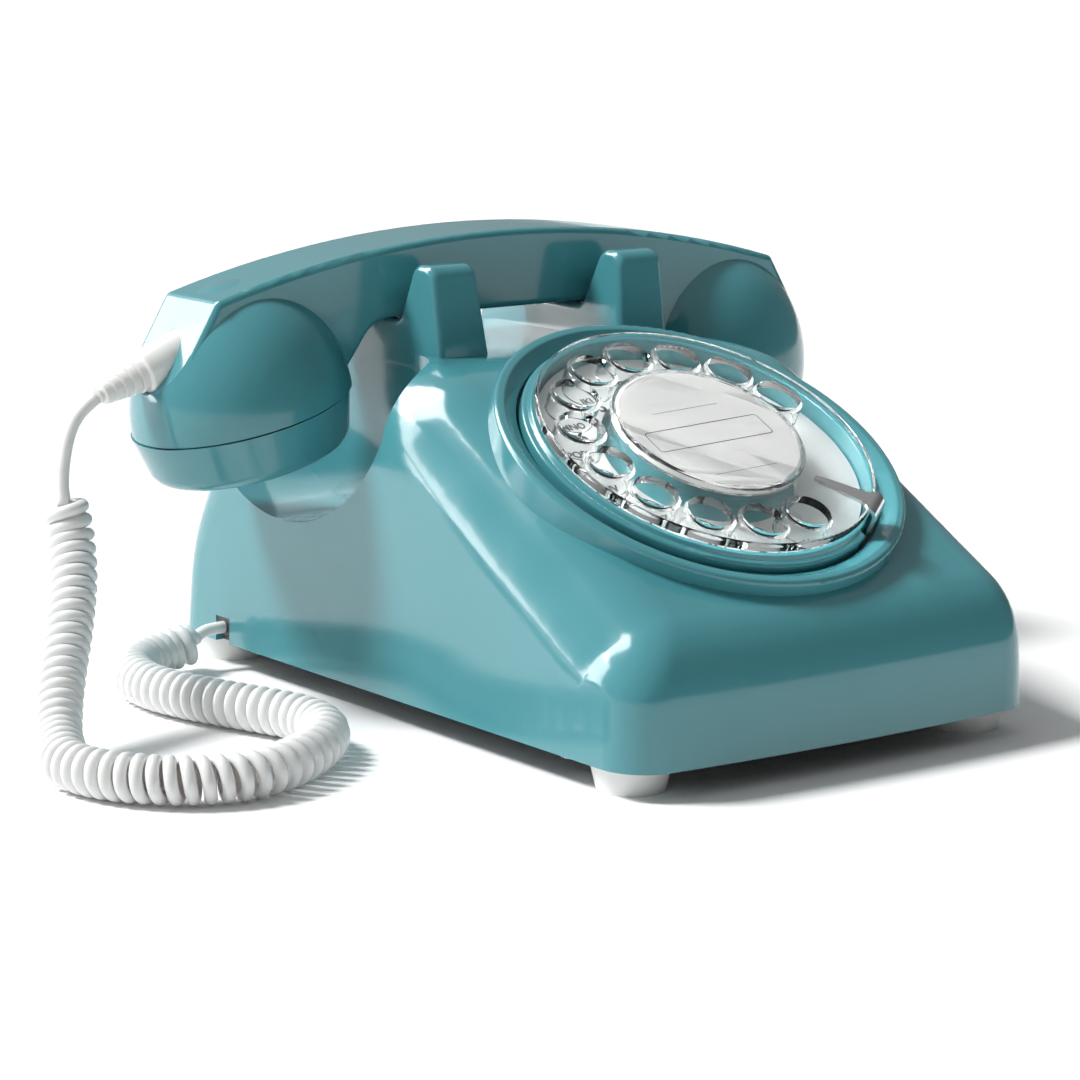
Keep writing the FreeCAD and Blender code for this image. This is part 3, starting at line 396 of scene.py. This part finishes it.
def build_card_print(black):
    """Empty name box with a ruled line above and below it."""
    bm = bmesh.new()
    outline = []
    for cx, cy, start in ((1, 1, 0), (-1, 1, 90), (-1, -1, 180), (1, -1, 270)):
        for step in range(BOX_CORNER_STEPS + 1):
            angle = math.radians(start + 90 / BOX_CORNER_STEPS * step)
            outline.append((cx * (BOX_HALF_X - BOX_CORNER) + BOX_CORNER * math.cos(angle),
                            cy * (BOX_HALF_Y - BOX_CORNER) + BOX_CORNER * math.sin(angle)))
    outline.append(outline[0])
    line_strip(bm, outline, BOX_LINE_WIDTH)
    for points in RULED_LINES:
        line_strip(bm, points, RULED_LINE_WIDTH)
    item = add_mesh("card_print", bm, black)
    turn = Matrix.Rotation(CARD_TURN, 4, "Z")
    item.matrix_world = DIAL @ Matrix.Translation(CARD_PLACE) @ turn
    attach(item, "dial")


# ---------------------------------------------------------------- cord
# Places along the cord, from the boot on the handset to the grommet in the housing.
ROUTE = (
    (-0.1372, 0.0540, 0.0954), (-0.1432, 0.0540, 0.0918), (-0.1478, 0.0530, 0.0844),
    (-0.1506, 0.0518, 0.0720), (-0.1502, 0.0502, 0.0650), (-0.14966, 0.04803, 0.0555),
    (-0.1530, 0.0410, 0.0455), (-0.1610, 0.0300, 0.0330), (-0.1705, 0.0185, 0.0210),
    (-0.1795, 0.0045, 0.0104), (-0.1835, -0.0055, 0.0087), (-0.1875, -0.0155, 0.0070),
    (-0.1840, -0.0340, 0.0073), (-0.1710, -0.0500, 0.0073), (-0.1510, -0.0555, 0.0073),
    (-0.1290, -0.0460, 0.0073), (-0.1105, -0.0290, 0.0073), (-0.1050, -0.0100, 0.0073),
    (-0.1120, 0.0120, 0.0073), (-0.1195, 0.0340, 0.0073), (-0.1225, 0.0540, 0.0073),
    (-0.1175, 0.0740, 0.0073), (-0.1070, 0.0855, 0.0073), (-0.0970, 0.0900, 0.0079),
    (-0.0920, 0.0900, 0.00855), (-0.0868, 0.0900, 0.009226), (-0.0818, 0.0900, 0.0123),
    (-0.0776, 0.0900, 0.0129), (-0.0660, 0.0900, 0.0129),
)
WIRE = 0.0038
WIRE_SIDES = 12
COIL_RADIUS = 0.0051
COIL_LEAD = 0.033
COIL_TAIL = 0.0185
COIL_EASE = 0.0030
COIL_PITCH = 0.0042
TURN_STEPS = 48
OPEN_PITCH = 0.0014
OPEN_CENTRE = 0.56
OPEN_REACH = 0.16
LINE_STEP = 0.0012


def route_line():
    """Points along the smooth curve of the cord's route."""
    curve = bpy.data.curves.new("cord_route", "CURVE")
    curve.dimensions = "3D"
    curve.resolution_u = 24
    spline = curve.splines.new("NURBS")
    spline.points.add(len(ROUTE) - 1)
    for point, place in zip(spline.points, ROUTE):
        point.co = place + (1.0,)
    spline.order_u = 3
    spline.use_endpoint_u = True
    source = bpy.data.objects.new("cord_route", curve)
    bpy.context.scene.collection.objects.link(source)
    bpy.context.view_layer.update()
    mesh = bpy.data.meshes.new_from_object(source)
    bpy.data.objects.remove(source)
    return [vertex.co.copy() for vertex in mesh.vertices]


class Track:
    """A line that can be asked for its place and frame at a distance along it."""

    def __init__(self, points):
        self.points = points
        self.reach = [0.0]
        for a, b in zip(points, points[1:]):
            self.reach.append(self.reach[-1] + (b - a).length)
        self.length = self.reach[-1]
        self.sides = []
        side = Vector((0, 0, 1))
        for i in range(len(points)):
            along = self.direction(i)
            side = (side - along * side.dot(along)).normalized()
            self.sides.append(side.copy())
        self.cursor = 0

    def direction(self, i):
        """Which way the line runs at that point."""
        last = len(self.points) - 1
        return (self.points[min(i + 1, last)] - self.points[max(i - 1, 0)]).normalized()

    def at(self, distance):
        """Place, one side and the other side of the line; distances only go up."""
        last = len(self.points) - 2
        while self.cursor < last and self.reach[self.cursor + 1] < distance:
            self.cursor += 1
        i = self.cursor
        step = self.reach[i + 1] - self.reach[i]
        share = min(1.0, max(0.0, (distance - self.reach[i]) / step))
        place = self.points[i].lerp(self.points[i + 1], share)
        along = self.direction(i).lerp(self.direction(i + 1), share).normalized()
        side = self.sides[i].lerp(self.sides[i + 1], share)
        side = (side - along * side.dot(along)).normalized()
        return place, side, along.cross(side)


def eased(value):
    """Zero to one with a smooth start and end."""
    value = min(1.0, max(0.0, value))
    return value * value * (3 - 2 * value)


def pitch_at(share):
    """The turns are close where the cord hangs and open where it lies in a bend."""
    return COIL_PITCH + OPEN_PITCH * eased(1 - abs(share - OPEN_CENTRE) / OPEN_REACH)


def evened(points, step):
    """The same line with its points an even step apart."""
    spread = [points[0]]
    left = step
    for a, b in zip(points, points[1:]):
        span = (b - a).length
        while left <= span:
            spread.append(a.lerp(b, left / span))
            left += step
        left -= span
    return spread


def cord_line():
    """The whole cord: a straight lead, the coils, and a straight tail."""
    track = Track(route_line())
    coil_end = track.length - COIL_TAIL
    line = []
    turn = 0.0
    distance = 0.0
    while distance < track.length:
        place, side, other = track.at(distance)
        inside = min(distance - COIL_LEAD, coil_end - distance)
        radius = COIL_RADIUS * eased(inside / COIL_EASE)
        line.append(place + side * radius * math.cos(turn) + other * radius * math.sin(turn))
        step = pitch_at(distance / track.length) / TURN_STEPS
        if inside > 0:
            turn += 2 * math.pi / TURN_STEPS
        distance += step
    return evened(line, LINE_STEP)


def tube_mesh(name, line, radius, sides, material):
    """A round tube along the line, closed at both ends."""
    bm = bmesh.new()
    rings = []
    side = Vector((0, 1, 0))
    last = len(line) - 1
    for i, place in enumerate(line):
        along = (line[min(i + 1, last)] - line[max(i - 1, 0)]).normalized()
        side = (side - along * side.dot(along)).normalized()
        other = along.cross(side)
        ring = []
        for k in range(sides):
            angle = 2 * math.pi * k / sides
            offset = side * math.cos(angle) + other * math.sin(angle)
            ring.append(bm.verts.new(place + offset * radius))
        rings.append(ring)
    for a, b in zip(rings, rings[1:]):
        for k in range(sides):
            n = (k + 1) % sides
            bm.faces.new((a[k], a[n], b[n], b[k]))
    bm.faces.new(list(reversed(rings[0])))
    bm.faces.new(rings[-1])
    for face in bm.faces:
        face.smooth = True
    return add_mesh(name, bm, material)


def build_cord(material):
    """The wound cord, running from the boot on the handset down to the grommet in the housing."""
    line = cord_line()
    cord = tube_mesh("handset_cord", line, WIRE / 2, WIRE_SIDES, material)
    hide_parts("handset_cord_lead", "handset_cord_coil_high", "handset_cord_coil_low",
                "handset_cord_tail")
    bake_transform(cord)


# ---------------------------------------------------------------- studio
FLOOR_HALF = 30
SUN_FROM = (-0.9, 0.75, 1.5)
SUN_STRENGTH = 3.7
SUN_ANGLE = math.radians(15)
WORLD_FROM = (-0.55, 0.60, 0.58)
WORLD_REACH = (-0.35, 0.9)
WORLD_STRENGTH = (0.1, 0.5)

# Each softbox: name, place, the point it faces, width, height, power.
SOFTBOXES = (
    ("softbox_back", (-1.25, 1.6, 0.75), (0, 0, 0.06), 1.1, 1.4, 38),
    ("softbox_top", (-0.42, 0.72, 1.05), (0, 0, 0.08), 0.7, 0.8, 21),
)


def add_softbox(name, place, target, width, height, power):
    """A rectangular light that shows only in reflections."""
    data = bpy.data.lights.new(name, "AREA")
    data.shape = "RECTANGLE"
    data.size = width
    data.size_y = height
    data.energy = power
    item = bpy.data.objects.new(name, data)
    aim = (Vector(place) - Vector(target)).to_track_quat("Z", "Y")
    item.matrix_world = Matrix.Translation(place) @ aim.to_matrix().to_4x4()
    bpy.context.scene.collection.objects.link(item)
    item.visible_diffuse = False


def build_world():
    """Soft light that fades from the upper left back to the front right."""
    world = bpy.data.worlds.new("studio")
    world.use_nodes = True
    tree = world.node_tree
    coords = tree.nodes.new("ShaderNodeTexCoord")
    toward = tree.nodes.new("ShaderNodeVectorMath")
    toward.operation = "DOT_PRODUCT"
    toward.inputs[1].default_value = Vector(WORLD_FROM).normalized()
    tree.links.new(coords.outputs["Generated"], toward.inputs[0])
    strength = tree.nodes.new("ShaderNodeMapRange")
    strength.inputs["From Min"].default_value = WORLD_REACH[0]
    strength.inputs["From Max"].default_value = WORLD_REACH[1]
    strength.inputs["To Min"].default_value = WORLD_STRENGTH[0]
    strength.inputs["To Max"].default_value = WORLD_STRENGTH[1]
    tree.links.new(toward.outputs["Value"], strength.inputs["Value"])
    background = tree.nodes["Background"]
    background.inputs["Color"].default_value = (1, 1, 1, 1)
    tree.links.new(strength.outputs["Result"], background.inputs["Strength"])
    bpy.context.scene.world = world


def add_sun():
    """The key light, which casts the long soft shadow to the right."""
    sun = bpy.data.lights.new("key_sun", "SUN")
    sun.energy = SUN_STRENGTH
    sun.angle = SUN_ANGLE
    lamp = bpy.data.objects.new("key_sun", sun)
    lamp.visible_glossy = False
    lamp.matrix_world = Vector(SUN_FROM).to_track_quat("Z", "Y").to_matrix().to_4x4()
    bpy.context.scene.collection.objects.link(lamp)


def build_stage():
    """Plain pale floor, soft surroundings, one sun and two softboxes."""
    bm = bmesh.new()
    corners = ((-1, -1), (1, -1), (1, 1), (-1, 1))
    bm.faces.new([bm.verts.new((x * FLOOR_HALF, y * FLOOR_HALF, 0)) for x, y in corners])
    paper = Shader("studio_floor", (0.95, 0.95, 0.95), 0.7)
    paper.vary_color(0.8, 0.01)
    add_mesh("floor", bm, paper.material)
    build_world()
    add_sun()
    for softbox in SOFTBOXES:
        add_softbox(*softbox)
    bpy.context.scene.view_settings.view_transform = "Standard"


make_camera()
made = dress_nodes()
build_cord(made[cord_rubber])
black = ink()
build_labels(black)
build_card_print(black)
build_stage()
